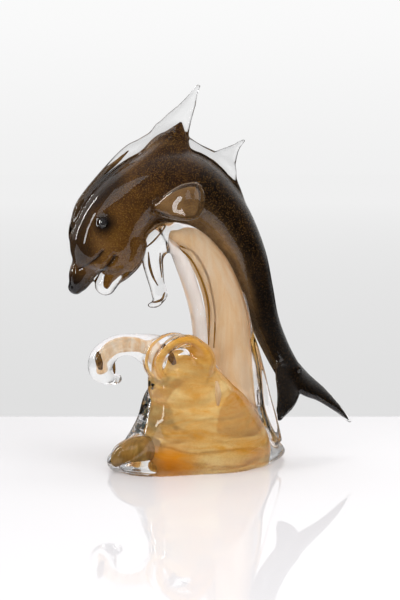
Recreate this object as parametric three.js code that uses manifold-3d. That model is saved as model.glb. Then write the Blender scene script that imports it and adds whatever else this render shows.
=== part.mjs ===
// A dolphin leaping over a breaking wave, hot-worked from solid cased glass.
// Millimetres, +Z up. The origin is the middle of the wave's flat ground underside.
// Seen along +Y the dolphin's head is at the left, towards -X, and its tail at the right.

import * as THREE from 'three';
import { mergeVertices } from 'three/addons/utils/BufferGeometryUtils.js';
import Module from 'manifold-3d';

// Driving dimensions, millimetres and degrees

const sculptureHeight = 400;     // underside to the tip of the tall spike on the back
const footLength = 200;          // longest span of the wave's foot
const footDepth = 120;           // span of the foot across that
const footTurn = 27;             // degrees that the foot's long side is turned from X
const footRounding = 5;          // height of the fire-polished lower edge
const footLobes = 5;             // soft lobes round the foot
const lobeRelief = 0.035;        // how far a lobe stands out, as a share of the foot's radius
const lobeLength = 136;          // longest span of the amber lobe in front of the foot
const lobeDepth = 78.4;          // span of that lobe across its length
const lobeTurn = 14;             // degrees that its long side is turned from X
const bladeThickness = 18.4;     // the clear blade along the back at its thickest, over the brow
const paddleThickness = 13;      // the pectoral paddles at their thickest
const flukeThickness = 15;       // the tail flukes at their roots
const leftCrestWidth = 34;       // the left curl of the wave, front to back
const frontCrestWidth = 30;      // the front curl of the wave, front to back
const curlRimDiameter = 12;      // the beads along both edges of the front curl
const mouthDepth = 4.5;          // how deep the mouth line goes into each cheek
const mouthOpening = 4;          // height of the mouth line
const eyeDiameter = 8.4;         // the black glass beads
const eyeStandOut = 0.3;         // share of a bead's diameter that stands out of the skin
const seamGap = 0.3;             // space kept between touching pieces

const wasm = await Module();
wasm.setup();

const depthAxis = new THREE.Vector3(0, 1, 0);
const share = (thousandths) => thousandths / 1000 * sculptureHeight;

// How far a bead's middle lies inside the edge that it runs along, as a share of its diameter.
const rimInset = 0.3;

// Solids from rings of points

// Turns points and triangle corners into a closed solid whose faces point out.
function solid(points, corners) {
  const geometry = new THREE.BufferGeometry();
  geometry.setAttribute('position', new THREE.Float32BufferAttribute(points.flatMap((p) => p.toArray()), 3));
  geometry.setIndex(corners);
  const welded = mergeVertices(geometry, 1e-5);
  const index = Uint32Array.from(welded.index.array);
  const places = Float32Array.from(welded.attributes.position.array);
  const corner = (i) => new THREE.Vector3().fromArray(places, 3 * index[i]);
  let volume = 0;
  for (let i = 0; i < index.length; i += 3) {
    volume += corner(i).dot(corner(i + 1).cross(corner(i + 2)));
  }
  if (volume < 0) {
    for (let i = 0; i < index.length; i += 3) {
      [index[i], index[i + 1]] = [index[i + 1], index[i]];
    }
  }
  return new wasm.Manifold(new wasm.Mesh({ numProp: 3, vertProperties: places, triVerts: index }));
}

// Skins a stack of equal rings and closes it with a fan to a point at each end.
function skin(rings, firstPole, lastPole) {
  const sides = rings[0].length;
  const points = [...rings.flat(), firstPole, lastPole];
  const first = points.length - 2;
  const last = points.length - 1;
  const top = (rings.length - 1) * sides;
  const corners = [];
  for (let k = 0; k < sides; k += 1) {
    const next = (k + 1) % sides;
    for (let row = 0; row < top; row += sides) {
      corners.push(row + k, row + next, row + sides + next);
      corners.push(row + k, row + sides + next, row + sides + k);
    }
    corners.push(first, next, k);
    corners.push(last, top + k, top + next);
  }
  return solid(points, corners);
}

// A drawn rod of glass: elliptical sections carried along a curve.
// A station is [x, y, z, half across, half deep], in thousandths of the sculpture's height.
// The deep radius lies along the thin direction, and the across radius at right angles to it.
// Bend is the power of the section's cosine and sine: 1 for an ellipse, less for a plate with round edges.
class Rod {
  constructor(stations, { thin = depthAxis, deep = null, bend = 1 } = {}) {
    this.stations = stations;
    this.bend = bend;
    const places = stations.map(([x, y, z]) => new THREE.Vector3(share(x), share(y), share(z)));
    const radii = stations.map((s) => new THREE.Vector3(share(s[3]), deep ? deep / 2 * s[4] : share(s[4]), 0));
    this.path = new THREE.CatmullRomCurve3(places, false, 'centripetal');
    this.girth = new THREE.CatmullRomCurve3(radii, false, 'catmullrom', 0.5);
    this.thin = thin;
  }

  frame(along) {
    const tangent = this.path.getTangent(along).normalize();
    const deep = this.thin.clone().addScaledVector(tangent, -this.thin.dot(tangent)).normalize();
    return { tangent, deep, across: tangent.clone().cross(deep) };
  }

  // The point of the skin at a share of the length and an angle from the across direction.
  pointAt(along, angle, grow = 0, shrink = 1, advance = 0) {
    const { tangent, deep, across } = this.frame(along);
    const girth = this.girth.getPoint(along);
    const bent = (value) => Math.sign(value) * Math.abs(value) ** this.bend;
    return this.path.getPoint(along)
      .addScaledVector(tangent, advance)
      .addScaledVector(across, (girth.x + grow) * shrink * bent(Math.cos(angle)))
      .addScaledVector(deep, (girth.y + grow) * shrink * bent(Math.sin(angle)));
  }

  // A round bead along one edge of a flat rod: side is 1 for the edge on the deep side, -1 for the other.
  rim(side, diameter) {
    const last = this.stations.length - 1;
    const beads = this.stations.map((station, i) => {
      const girth = this.girth.getPoint(i / last);
      const place = this.path.getPoint(i / last)
        .addScaledVector(this.frame(i / last).deep, side * (girth.y - diameter * rimInset));
      const radius = Math.min(girth.x, girth.y, diameter / 2);
      return [...place.toArray(), radius, radius].map((value) => value / share(1));
    });
    return new Rod(beads, { thin: this.thin });
  }

  // The closed solid. A cap of 0 is flat, and 1 is as long as the end's smaller radius.
  solid({ rows, sides, firstCap = 0, lastCap = 0, capRows = 4, grow = 0 }) {
    const ring = (along, shrink, advance) => Array.from({ length: sides }, (_, k) =>
      this.pointAt(along, 2 * Math.PI * k / sides, grow, shrink, advance));
    const reach = (along, cap) => {
      const girth = this.girth.getPoint(along);
      return cap * (Math.min(girth.x, girth.y) + grow);
    };
    const rings = [];
    const turn = (step) => step / capRows * Math.PI / 2;
    for (let step = capRows - 1; firstCap > 0 && step > 0; step -= 1) {
      rings.push(ring(0, Math.cos(turn(step)), -reach(0, firstCap) * Math.sin(turn(step))));
    }
    for (let row = 0; row <= rows; row += 1) {
      rings.push(ring(row / rows, 1, 0));
    }
    for (let step = 1; lastCap > 0 && step < capRows; step += 1) {
      rings.push(ring(1, Math.cos(turn(step)), reach(1, lastCap) * Math.sin(turn(step))));
    }
    const pole = (along, advance) =>
      this.path.getPoint(along).addScaledVector(this.frame(along).tangent, advance);
    return skin(rings, pole(0, -reach(0, firstCap)), pole(1, reach(1, lastCap)));
  }
}

// The same stations on the far side of the dolphin's middle plane.
function mirrored(stations, middle) {
  return stations.map(([x, y, ...rest]) => [x, 2 * middle / share(1) - y, ...rest]);
}

// The dolphin's forms

const trunkOfDolphin = new Rod([
  [-249, 5, 536, 79, 62],
  [-246, 6, 575, 91, 72],
  [-234, 11, 615, 92, 78],
  [-210, 20, 656, 92, 82],
  [-171, 30, 696, 91, 86],
  [-122, 38, 723, 96, 89],
  [-71, 45, 732, 100, 91],
  [-19, 53, 719, 95, 91],
  [30, 61, 686, 83, 81],
  [83, 70, 627, 68, 64],
  [131, 80, 542, 53, 50],
  [157, 82, 456, 45, 42],
  [179, 72, 371, 39, 36],
  [211, 40, 297, 35, 29],
  [244, 0, 239, 34, 21],
]);

const beak = new Rod([
  [-273, 5, 552, 47, 44],
  [-301, 2, 510, 37, 34],
  [-314, 0, 482, 28, 26],
  [-322, 0, 469, 20, 20],
]);

const lowerJaw = new Rod([
  [-168, 5, 592, 38, 46],
  [-182, 5, 554, 41, 42],
  [-203, 3, 526, 38, 37],
  [-228, 1, 503, 34, 31],
  [-244, 0, 474, 28, 25],
]);

// The line between the jaws closes towards its corner. Its last column is a share of the head's depth.
const headDepth = share(200);
const mouthHalf = mouthOpening / 2 / share(1);
const mouthLine = new Rod([
  [-294, 2, 464, mouthHalf, 1],
  [-262, 2, 503, mouthHalf, 1],
  [-243, 2, 522, mouthHalf * 0.9, 1],
  [-227, 2, 538, mouthHalf * 0.7, 1],
  [-215, 2, 556, mouthHalf * 0.4, 1],
], { deep: headDepth });

// The swell of the back that runs up under the tall spike.
const peak = new Rod([
  [-80, 46, 796, 86, 59],
  [-66, 45, 835, 60, 37],
  [-58, 43, 862, 38, 25],
  [-50, 41, 884, 21, 16],
  [-45, 40, 897, 12, 10],
]);

// The clear blade: up the brow and along the back into the tall spike, down over the saddle and up into the
// low spike. Its last column is a share of bladeThickness.
const blade = { deep: bladeThickness, bend: 0.6 };
const ridge = new Rod([
  [-316, 4, 566, 10, 0.52],
  [-325, 5, 604, 14, 0.78],
  [-317, 8, 645, 16, 0.96],
  [-299, 14, 690, 18, 1],
  [-241, 24, 752, 25, 0.87],
  [-177, 34, 807, 33, 0.65],
  [-140, 40, 826, 35, 0.61],
  [-100, 42, 843, 43, 0.61],
  [-72, 42, 868, 47, 0.61],
  [-53, 42, 900, 36, 0.52],
  [-34, 40, 930, 24, 0.43],
  [-21, 38, 952, 17, 0.35],
  [-10, 36, 975, 10, 0.26],
  [2, 35, 996, 5, 0.2],
], blade);

const saddle = new Rod([
  [-40, 46, 850, 20, 0.61],
  [-8, 50, 822, 26, 0.61],
  [30, 54, 798, 31, 0.61],
  [68, 58, 776, 34, 0.61],
  [88, 62, 746, 17, 0.52],
  [106, 66, 712, 12, 0.43],
  [124, 70, 680, 6, 0.26],
], blade);

const lowSpike = new Rod([
  [58, 56, 786, 46, 0.57],
  [80, 55, 812, 27, 0.48],
  [97, 53, 831, 13, 0.35],
  [110, 51, 844, 7, 0.26],
  [121, 50, 852, 4.5, 0.2],
], blade);

// The pectoral paddles: narrow where they leave the flank, broad and flat at the end.
const paddleStations = [
  [-119, -30, 684, 9, 0.9],
  [-98, -58, 684, 22, 1],
  [-66, -84, 692, 40, 0.95],
  [-33, -104, 699, 51, 0.8],
  [-10, -116, 702, 52, 0.65],
];
const paddleRound = 3;
const middlePlane = share(40);
const nearPaddle = new Rod(paddleStations, { thin: new THREE.Vector3(0, -1, 0.3), deep: paddleThickness });
const farPaddle = new Rod(mirrored(paddleStations, middlePlane), {
  thin: new THREE.Vector3(0, 1, 0.3), deep: paddleThickness,
});

// The tail flukes lie in one tilted plane, and thin is at right angles to it.
const flukeThin = new THREE.Vector3(-0.61, 0.64, -0.47);
const nearFluke = new Rod([
  [234, 5, 250, 36, 1],
  [238, -20, 212, 40, 0.85],
  [232, -50, 180, 31, 0.6],
  [218, -80, 152, 17, 0.4],
  [211, -103, 135, 6, 0.22],
], { thin: flukeThin, deep: flukeThickness });
const farFluke = new Rod([
  [248, 5, 246, 37, 1],
  [281, 12, 212, 36, 0.85],
  [325, 28, 182, 25, 0.65],
  [372, 44, 141, 14, 0.45],
  [409, 58, 101, 5, 0.22],
], { thin: flukeThin, deep: flukeThickness });

// The wave's forms

// The hanging tip: from inside the tall crest over and down to the flicked end.
const hangingTip = new Rod([
  [-78, 25, 602, 37, 40],
  [-105, 20, 584, 37, 36],
  [-119, 15, 551, 30, 26],
  [-115, 12, 511, 25, 21],
  [-108, 10, 477, 21, 18],
  [-100, 10, 445, 21, 18],
]);

// The tall crest: from under the dolphin's throat down into the foot.
const column = new Rod([
  [-68, 30, 606, 39, 48],
  [-29, 40, 580, 53, 58],
  [8, 50, 526, 66, 63],
  [40, 55, 456, 72, 67],
  [62, 60, 375, 77, 70],
  [67, 60, 308, 80, 74],
  [75, 55, 227, 88, 84],
  [78, 42, 148, 90, 80],
  [66, 30, 60, 84, 66],
]);

const tipFlick = new Rod([
  [-100, 10, 443, 17, 16],
  [-110, 5, 427, 12, 12],
  [-125, 2, 422, 7, 7],
]);

const waveMass = new Rod([
  [4, -16, 36, 96, 64],
  [-2, -36, 136, 112, 84],
  [-28, -45, 198, 103, 80],
  [-47, -40, 250, 88, 70],
  [-57, -35, 290, 66, 54],
]);

// The curls. Their last column is a share of the curl's own width.
const leftCrest = new Rod([
  [-68, -10, 272, 58, 1.2],
  [-121, -10, 302, 45, 1.1],
  [-173, -12, 318, 29, 1],
  [-218, -15, 313, 29, 1],
  [-250, -18, 284, 34, 1],
  [-255, -18, 252, 32, 0.9],
  [-237, -20, 234, 21, 0.7],
  [-213, -20, 229, 13, 0.4],
], { deep: leftCrestWidth });

const frontCrest = new Rod([
  [-5, -55, 237, 52, 1.3],
  [8, -60, 293, 34, 1.15],
  [-20, -65, 333, 29, 1],
  [-64, -70, 337, 27, 1],
  [-103, -75, 311, 26, 1],
  [-114, -75, 272, 23, 0.9],
  [-93, -75, 240, 20, 0.7],
  [-62, -75, 230, 14, 0.5],
  [-41, -75, 232, 12, 0.4],
], { deep: frontCrestWidth, thin: new THREE.Vector3(-0.55, 0.83, 0) });

// The front curl is a thin sheet past its root, with a bead along each edge.
const sheetShare = 0.55;
const curlSheet = new Rod(frontCrest.stations.map(([x, y, z, across, deep], i) =>
  [x, y, z, i < 2 ? across : across * sheetShare, deep]), { deep: frontCrestWidth, thin: frontCrest.thin });
const curlRims = [1, -1].map((side) => frontCrest.rim(side, curlRimDiameter));

// The foot and the amber lobe in front of it are stacks of lobed ellipses. A level is [height, length share,
// depth share, shift in x, shift in y, lobe share], with level heights and shifts in thousandths of the
// sculpture's height.
const footRise = [
  [65, 0.84, 0.87, 2, 2, 0.8],
  [125, 0.715, 0.78, 8, 8, 0.5],
  [185, 0.64, 0.68, 8, 14, 0.2],
  [225, 0.5, 0.52, 4, 14, 0],
  [246, 0.28, 0.3, 0, 12, 0],
];
const lobeRise = [
  [40, 1, 1, 22, -50, 1],
  [80, 0.97, 0.98, 20, -46, 0.8],
  [125, 0.87, 0.92, 16, -42, 0.5],
  [180, 0.74, 0.84, 2, -36, 0.2],
  [225, 0.58, 0.78, -22, -34, 0],
  [262, 0.4, 0.6, -40, -34, 0],
  [280, 0.2, 0.4, -44, -34, 0],
];

class Gather {
  constructor({ length, depth, turn, sides }) {
    this.length = length;
    this.depth = depth;
    this.turn = THREE.MathUtils.degToRad(turn);
    this.sides = sides;
  }

  ring(height, lengthShare, depthShare, shiftX, shiftY, lobes) {
    return Array.from({ length: this.sides }, (_, k) => {
      const angle = 2 * Math.PI * k / this.sides;
      const reach = 1 + lobeRelief * lobes * Math.cos(footLobes * angle);
      const x = this.length / 2 * lengthShare * reach * Math.cos(angle);
      const y = this.depth / 2 * depthShare * reach * Math.sin(angle);
      return new THREE.Vector3(
        share(shiftX) + x * Math.cos(this.turn) - y * Math.sin(this.turn),
        share(shiftY) + x * Math.sin(this.turn) + y * Math.cos(this.turn),
        height,
      );
    });
  }

  // The closed solid: the fire-polished lower edge, as [height in roundings, size share], then the rise.
  solid(rise, shiftX, shiftY) {
    const edge = [[0, 0.955], [0.35, 0.985], [1, 1], [2, 0.995]];
    const rings = [
      ...edge.map(([height, size]) => this.ring(height * footRounding, size, size, shiftX, shiftY, 1)),
      ...rise.map(([height, ...rest]) => this.ring(share(height), ...rest)),
    ];
    const [height, , , topX, topY] = rise[rise.length - 1];
    const crown = new THREE.Vector3(share(topX), share(topY), share(height) + footRounding);
    return skin(rings, new THREE.Vector3(share(shiftX), share(shiftY), 0), crown);
  }
}

const foot = new Gather({ length: footLength, depth: footDepth, turn: footTurn, sides: 30 })
  .solid(footRise, 0, 0);
const amberLobe = new Gather({ length: lobeLength, depth: lobeDepth, turn: lobeTurn, sides: 25 })
  .solid(lobeRise, 22, -50);

// The two fused gathers. Grow swells the dolphin by the seam gap where it cuts the wave.

function headAndTrunk(grow) {
  return trunkOfDolphin.solid({ rows: 28, sides: 24, firstCap: 0.42, lastCap: 0.6, grow })
    .add(beak.solid({ rows: 5, sides: 14, lastCap: 0.9, capRows: 3, grow }))
    .add(lowerJaw.solid({ rows: 6, sides: 14, firstCap: 0.5, lastCap: 1, capRows: 3, grow }));
}

function dolphinBody(grow = 0) {
  const drawnOut = [
    peak.solid({ rows: 6, sides: 12, lastCap: 1, capRows: 3, grow }),
    ridge.solid({ rows: 20, sides: 8, firstCap: 1, lastCap: 1, capRows: 2, grow }),
    saddle.solid({ rows: 8, sides: 8, lastCap: 1, capRows: 2, grow }),
    lowSpike.solid({ rows: 6, sides: 8, lastCap: 1, capRows: 2, grow }),
    nearPaddle.solid({ rows: 7, sides: 12, lastCap: paddleRound, grow }),
    farPaddle.solid({ rows: 7, sides: 12, lastCap: paddleRound, grow }),
    nearFluke.solid({ rows: 7, sides: 12, lastCap: 1, capRows: 3, grow }),
    farFluke.solid({ rows: 7, sides: 12, lastCap: 1, capRows: 3, grow }),
  ];
  return drawnOut.reduce((whole, next) => whole.add(next), headAndTrunk(grow));
}

// What the mouth line takes away: a slit right through, less the head left inside it.
function mouthGroove() {
  return mouthLine.solid({ rows: 8, sides: 10, firstCap: 0, lastCap: 0 }).subtract(headAndTrunk(-mouthDepth));
}

function waveBody() {
  const mass = [
    amberLobe,
    column.solid({ rows: 16, sides: 20, firstCap: 0.9 }),
    hangingTip.solid({ rows: 10, sides: 12, firstCap: 0.6, lastCap: 0.8, capRows: 3 }),
    tipFlick.solid({ rows: 4, sides: 10, lastCap: 1, capRows: 3 }),
    waveMass.solid({ rows: 6, sides: 20, lastCap: 0.5 }),
    leftCrest.solid({ rows: 18, sides: 12, lastCap: 1 }),
    curlSheet.solid({ rows: 18, sides: 10, lastCap: 1, capRows: 2 }),
    ...curlRims.map((rim) => rim.solid({ rows: 18, sides: 6, lastCap: 1, capRows: 2 })),
  ];
  return mass.reduce((whole, next) => whole.add(next), foot);
}

// The eye beads sit in sockets on both sides of the head.
const eyeAlong = 0.155;
const eyeTurn = 77;

function eyePlace(side) {
  const angle = THREE.MathUtils.degToRad(eyeTurn * side);
  const out = trunkOfDolphin.pointAt(eyeAlong, angle);
  const outward = out.clone().sub(trunkOfDolphin.path.getPoint(eyeAlong)).normalize();
  return out.addScaledVector(outward, eyeDiameter * (eyeStandOut - 0.5));
}

function bead(place, diameter) {
  const geometry = new THREE.SphereGeometry(diameter / 2, 12, 8);
  geometry.deleteAttribute('normal');
  geometry.deleteAttribute('uv');
  geometry.translate(place.x, place.y, place.z);
  const welded = mergeVertices(geometry, 1e-5);
  const points = [];
  for (let i = 0; i < welded.attributes.position.count; i += 1) {
    points.push(new THREE.Vector3().fromBufferAttribute(welded.attributes.position, i));
  }
  return solid(points, Array.from(welded.index.array));
}

// Materials

const bronzeBrownGlass = new THREE.MeshStandardMaterial({ color: 0x3f2b1a, roughness: 0.06, metalness: 0 });
const amberGlass = new THREE.MeshStandardMaterial({ color: 0xdcae68, roughness: 0.06, metalness: 0 });
const blackGlass = new THREE.MeshStandardMaterial({ color: 0x0d0b0a, roughness: 0.08, metalness: 0 });

// Wraps a solid as a named mesh.
function piece(name, body, material) {
  const { vertProperties, triVerts } = body.getMesh();
  const geometry = new THREE.BufferGeometry();
  geometry.setAttribute('position', new THREE.BufferAttribute(vertProperties, 3));
  geometry.setIndex(new THREE.BufferAttribute(triVerts, 1));
  geometry.computeVertexNormals();
  const mesh = new THREE.Mesh(geometry, material);
  mesh.name = name;
  return mesh;
}

// Assembly

const eyeSides = { eye_near: -1, eye_far: 1 };
const eyePlaces = Object.entries(eyeSides).map(([name, side]) => [name, eyePlace(side)]);

let dolphin = dolphinBody().subtract(mouthGroove());
for (const [, place] of eyePlaces) {
  dolphin = dolphin.subtract(bead(place, eyeDiameter + 2 * seamGap));
}
const wave = waveBody().subtract(dolphinBody(seamGap));

const sculpture = new THREE.Group();
sculpture.name = 'dolphin_on_wave';
sculpture.add(piece('wave', wave, amberGlass));
sculpture.add(piece('dolphin', dolphin, bronzeBrownGlass));
for (const [name, place] of eyePlaces) {
  sculpture.add(piece(name, bead(place, eyeDiameter), blackGlass));
}

export default sculpture;
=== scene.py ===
"""A glass dolphin leaping over a breaking wave: clear casings with coloured glass sealed inside them.

Stations of the forms are in thousandths of the sculpture's height, in the frame's own axes: +Z up, the head
towards -X, and the front view looking along +Y. The origin is the middle of the wave's ground underside.
"""
import logging
import math
from dataclasses import dataclass, replace
from enum import Enum

import bpy
import numpy as np
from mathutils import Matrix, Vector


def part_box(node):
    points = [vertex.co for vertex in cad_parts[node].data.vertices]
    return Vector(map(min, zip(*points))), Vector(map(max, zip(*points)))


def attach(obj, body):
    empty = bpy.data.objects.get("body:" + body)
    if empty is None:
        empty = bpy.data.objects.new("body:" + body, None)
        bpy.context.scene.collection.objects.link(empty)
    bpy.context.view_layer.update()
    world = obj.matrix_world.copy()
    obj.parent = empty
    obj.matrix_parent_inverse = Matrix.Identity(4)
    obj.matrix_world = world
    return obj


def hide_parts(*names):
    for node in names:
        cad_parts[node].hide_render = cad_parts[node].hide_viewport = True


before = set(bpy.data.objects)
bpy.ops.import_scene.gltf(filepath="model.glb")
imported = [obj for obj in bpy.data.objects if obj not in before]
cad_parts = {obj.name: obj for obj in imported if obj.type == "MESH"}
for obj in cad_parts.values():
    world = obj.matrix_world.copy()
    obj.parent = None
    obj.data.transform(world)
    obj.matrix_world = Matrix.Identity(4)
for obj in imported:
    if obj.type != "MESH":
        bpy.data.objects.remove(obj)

log = logging.getLogger("glass_dolphin")
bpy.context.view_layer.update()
HEIGHT = 0.400
MM = 0.001
BODY = "root"
DEPTH_AXIS = (0.0, 1.0, 0.0)
# Steps along a rod's path, and along a line on the cheek, when points are measured against them
PATH_STEPS = 160
LINE_STEPS = 80
# A cap turns through this share of a quarter circle, and a face closes the small ring that is left
CAP_TURN = 0.995
POLE_GAP = 0.03
# Least half width and half depth of a core, in thousandths
CORE_LEAST_ACROSS = 2
CORE_LEAST_DEEP = 1.5
# A bead's middle lies this share of its radius in from the edge
BEAD_INSET = 0.6
# The Mix node's sockets for colours and for numbers, by their places because their names repeat
MIX_A, MIX_B, MIX_OUT = 6, 7, 2
MIX_FLOAT_A, MIX_FLOAT_B, MIX_FLOAT_OUT = 2, 3, 0

Array = np.ndarray


def share(thousandths: float) -> float:
    """Metres for a length in thousandths of the sculpture's height."""
    return thousandths * HEIGHT / 1000


def linear(hex_colour: str, alpha: float = 1.0) -> tuple[float, float, float, float]:
    """Turns an sRGB hex colour to linear.

    Args:
        hex_colour: six hex digits.
        alpha: the fourth value.

    Returns:
        Linear red, green, blue and alpha.
    """
    srgb = [int(hex_colour[i:i + 2], 16) / 255 for i in (0, 2, 4)]
    rgb = [c / 12.92 if c <= 0.04045 else ((c + 0.055) / 1.055) ** 2.4 for c in srgb]
    return (*rgb, alpha)


def spline(stations: Array, along: Array) -> Array:
    """Catmull-Rom curve: each span is the cubic whose end slopes are half the chord of the two neighbours.

    Args:
        stations: rows of values.
        along: places from 0, the first row, to 1, the last.

    Returns:
        One row of values for each place.
    """
    padded = np.vstack([2 * stations[0] - stations[1], stations, 2 * stations[-1] - stations[-2]])
    place = np.clip(along, 0, 1) * (len(stations) - 1)
    span = np.minimum(place.astype(int), len(stations) - 2)
    t = (place - span)[:, None]
    a, b, c, d = (padded[span + k] for k in range(4))
    square, cube = 2 * a - 5 * b + 4 * c - d, 3 * b - a - 3 * c + d
    return 0.5 * (2 * b + (c - a) * t + square * t ** 2 + cube * t ** 3)


@dataclass(frozen=True)
class Skin:
    """A closed surface: its points and its faces."""

    points: Array
    faces: list


def join(skins: list[Skin]) -> Skin:
    """Puts several skins in one, each closed by itself.

    Args:
        skins: the skins.

    Returns:
        One skin with all their points and faces.
    """
    starts = np.cumsum([0] + [len(s.points) for s in skins])
    faces = [[int(start) + i for i in face] for start, s in zip(starts, skins) for face in s.faces]
    return Skin(np.vstack([s.points for s in skins]), faces)


def tube(rings: Array) -> Skin:
    """Skins a stack of equal rings with quads, and closes each end with one face.

    Args:
        rings: points in rows, sides and coordinates.

    Returns:
        The closed skin.
    """
    rows, sides, _ = rings.shape
    row, side = np.meshgrid(np.arange(rows - 1), np.arange(sides), indexing="ij")
    following = (side + 1) % sides
    quads = np.stack([row * sides + side, row * sides + following,
                      (row + 1) * sides + following, (row + 1) * sides + side], -1).reshape(-1, 4)
    first = list(range(sides))[::-1]
    last = [(rows - 1) * sides + k for k in range(sides)]
    return Skin(rings.reshape(-1, 3), quads.tolist() + [first, last])


@dataclass(frozen=True)
class Rod:
    """A drawn rod of glass: elliptical sections carried along a curve.

    Attributes:
        stations: rows of x, y, z, half across and half deep, in thousandths of the height.
        thin: the direction of the deep radius, before it is squared to the path.
        first_cap: length of the first end's rounding as a share of the smaller radius.
        last_cap: the same for the last end.
        bend: power of the section's cosine and sine: 1 for an ellipse, less for a plate with round edges.
    """

    stations: tuple
    thin: tuple = DEPTH_AXIS
    first_cap: float = 0.5
    last_cap: float = 0.5
    bend: float = 1.0

    def frames(self, along: Array) -> tuple[Array, Array, Array, Array, Array]:
        """Centre, radii and the tangent, across and deep directions at places along the rod."""
        table = np.array(self.stations, float) * share(1)
        row = spline(table, along)
        step = 1e-3
        tangent = spline(table, along + step)[:, :3] - spline(table, along - step)[:, :3]
        tangent /= np.linalg.norm(tangent, axis=1, keepdims=True)
        thin = np.array(self.thin, float)
        deep = thin - tangent * (tangent @ thin)[:, None]
        deep /= np.linalg.norm(deep, axis=1, keepdims=True)
        return row[:, :3], row[:, 3:5], tangent, np.cross(tangent, deep), deep

    def skin(self, rows: int = 130, sides: int = 120, cap_rows: int = 10) -> Skin:
        """The rod's surface: centre + across * cos(angle) ^ bend + deep * sin(angle) ^ bend, with round ends.

        Args:
            rows: steps along the rod.
            sides: steps round it.
            cap_rows: steps in each rounded end.

        Returns:
            The closed skin.
        """
        turn = np.linspace(0, math.pi / 2, cap_rows + 1)[1:] * CAP_TURN
        rise = np.sin(turn)
        along = np.concatenate([np.zeros(cap_rows), np.linspace(0, 1, rows), np.ones(cap_rows)])
        shrink = np.concatenate([np.cos(turn)[::-1], np.ones(rows), np.cos(turn)])
        push = np.concatenate([-rise[::-1] * self.first_cap, np.zeros(rows), rise * self.last_cap])
        centre, girth, tangent, across, deep = self.frames(along)
        centre = centre + tangent * (push * girth.min(1))[:, None]
        angle = np.linspace(0, 2 * math.pi, sides, endpoint=False)
        reach = girth * shrink[:, None]
        wide, high = (np.sign(v) * np.abs(v) ** self.bend for v in (np.cos(angle), np.sin(angle)))
        rings = (centre[:, None] + wide[None, :, None] * (across * reach[:, :1])[:, None]
                 + high[None, :, None] * (deep * reach[:, 1:])[:, None])
        return tube(rings)

    def table(self) -> Array:
        """The stations as rows of numbers, in thousandths."""
        return np.array(self.stations, float)

    def with_table(self, table: Array) -> "Rod":
        """The same rod with other stations."""
        return replace(self, stations=tuple(map(tuple, table)))

    def rim(self, side: float, radius: float) -> "Rod":
        """A round bead along one edge of a flat rod.

        Args:
            side: 1 for the edge on the deep side, -1 for the other.
            radius: the bead's radius in thousandths.

        Returns:
            The bead.
        """
        table = self.table()
        deep = self.frames(np.linspace(0, 1, len(table)))[4]
        table[:, :3] += deep * (side * (table[:, 4:5] - radius * BEAD_INSET))
        table[:, 3:5] = np.minimum(table[:, 3:5], radius)
        return replace(self.with_table(table), bend=1.0)

    def core(self, back: Array, belly: Array, side: float, trim: int = 0) -> "Rod":
        """The rod left inside a clear layer.

        Args:
            back: clear thickness on the across side at each station, in thousandths.
            belly: clear thickness on the other side.
            side: clear thickness in depth.
            trim: stations left off the last end.

        Returns:
            The inner rod, its centre moved by half the difference of the two layers.
        """
        table = self.table()
        across = self.frames(np.linspace(0, 1, len(table)))[3]
        back, belly = np.broadcast_to(back, len(table)), np.broadcast_to(belly, len(table))
        table[:, :3] -= across * ((back - belly) / 2)[:, None]
        table[:, 3] = np.maximum(table[:, 3] - (back + belly) / 2, CORE_LEAST_ACROSS)
        table[:, 4] = np.maximum(table[:, 4] - side, CORE_LEAST_DEEP)
        return self.with_table(table[:len(table) - trim])


def mirrored(stations: tuple, middle: float) -> tuple:
    """The same stations on the far side of the plane y = middle."""
    return tuple((row[0], 2 * middle - row[1], *row[2:]) for row in stations)


def ball(centre: Array, radius: float, sides: int = 32) -> Skin:
    """A sphere: rings of radius * sin(angle) at heights of radius * cos(angle)."""
    turn = np.linspace(POLE_GAP, math.pi - POLE_GAP, sides // 2)
    angle = np.linspace(0, 2 * math.pi, sides, endpoint=False)
    flat = np.sin(turn)[:, None]
    rings = np.stack([flat * np.cos(angle), flat * np.sin(angle), -np.cos(turn)[:, None] + 0 * angle], -1)
    return tube(centre + radius * rings)


def scaled_depth(stations: tuple, thickness: float) -> tuple:
    """Stations whose last value is a share of a thickness in thousandths of the height."""
    return tuple((*row[:4], row[4] * thickness / 2) for row in stations)


def new_object(name: str, skin: Skin) -> bpy.types.Object:
    """Makes a mesh object from a skin and links it to the scene."""
    mesh = bpy.data.meshes.new(name)
    mesh.from_pydata(skin.points.tolist(), [], skin.faces)
    mesh.update()
    obj = bpy.data.objects.new(name, mesh)
    bpy.context.scene.collection.objects.link(obj)
    return obj


def apply_modifiers(obj: bpy.types.Object) -> None:
    """Bakes an object's modifiers into its mesh."""
    graph = bpy.context.evaluated_depsgraph_get()
    graph.update()
    baked = bpy.data.meshes.new_from_object(obj.evaluated_get(graph))
    old = obj.data
    obj.modifiers.clear()
    obj.data = baked
    bpy.data.meshes.remove(old)


def read_rows(collection: bpy.types.bpy_prop_collection, key: str) -> Array:
    """A value of three numbers from each entry of a mesh's collection, as rows."""
    values = np.empty(len(collection) * 3)
    collection.foreach_get(key, values)
    return values.reshape(-1, 3)


def read_points(mesh: bpy.types.Mesh) -> Array:
    """The mesh's points as rows."""
    return read_rows(mesh.vertices, "co")


def read_normals(mesh: bpy.types.Mesh) -> Array:
    """The mesh's point normals as rows."""
    return read_rows(mesh.vertex_normals, "vector")


def write_points(mesh: bpy.types.Mesh, points: Array) -> None:
    """Moves the mesh's points."""
    mesh.vertices.foreach_set("co", points.ravel())
    mesh.update()


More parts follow.
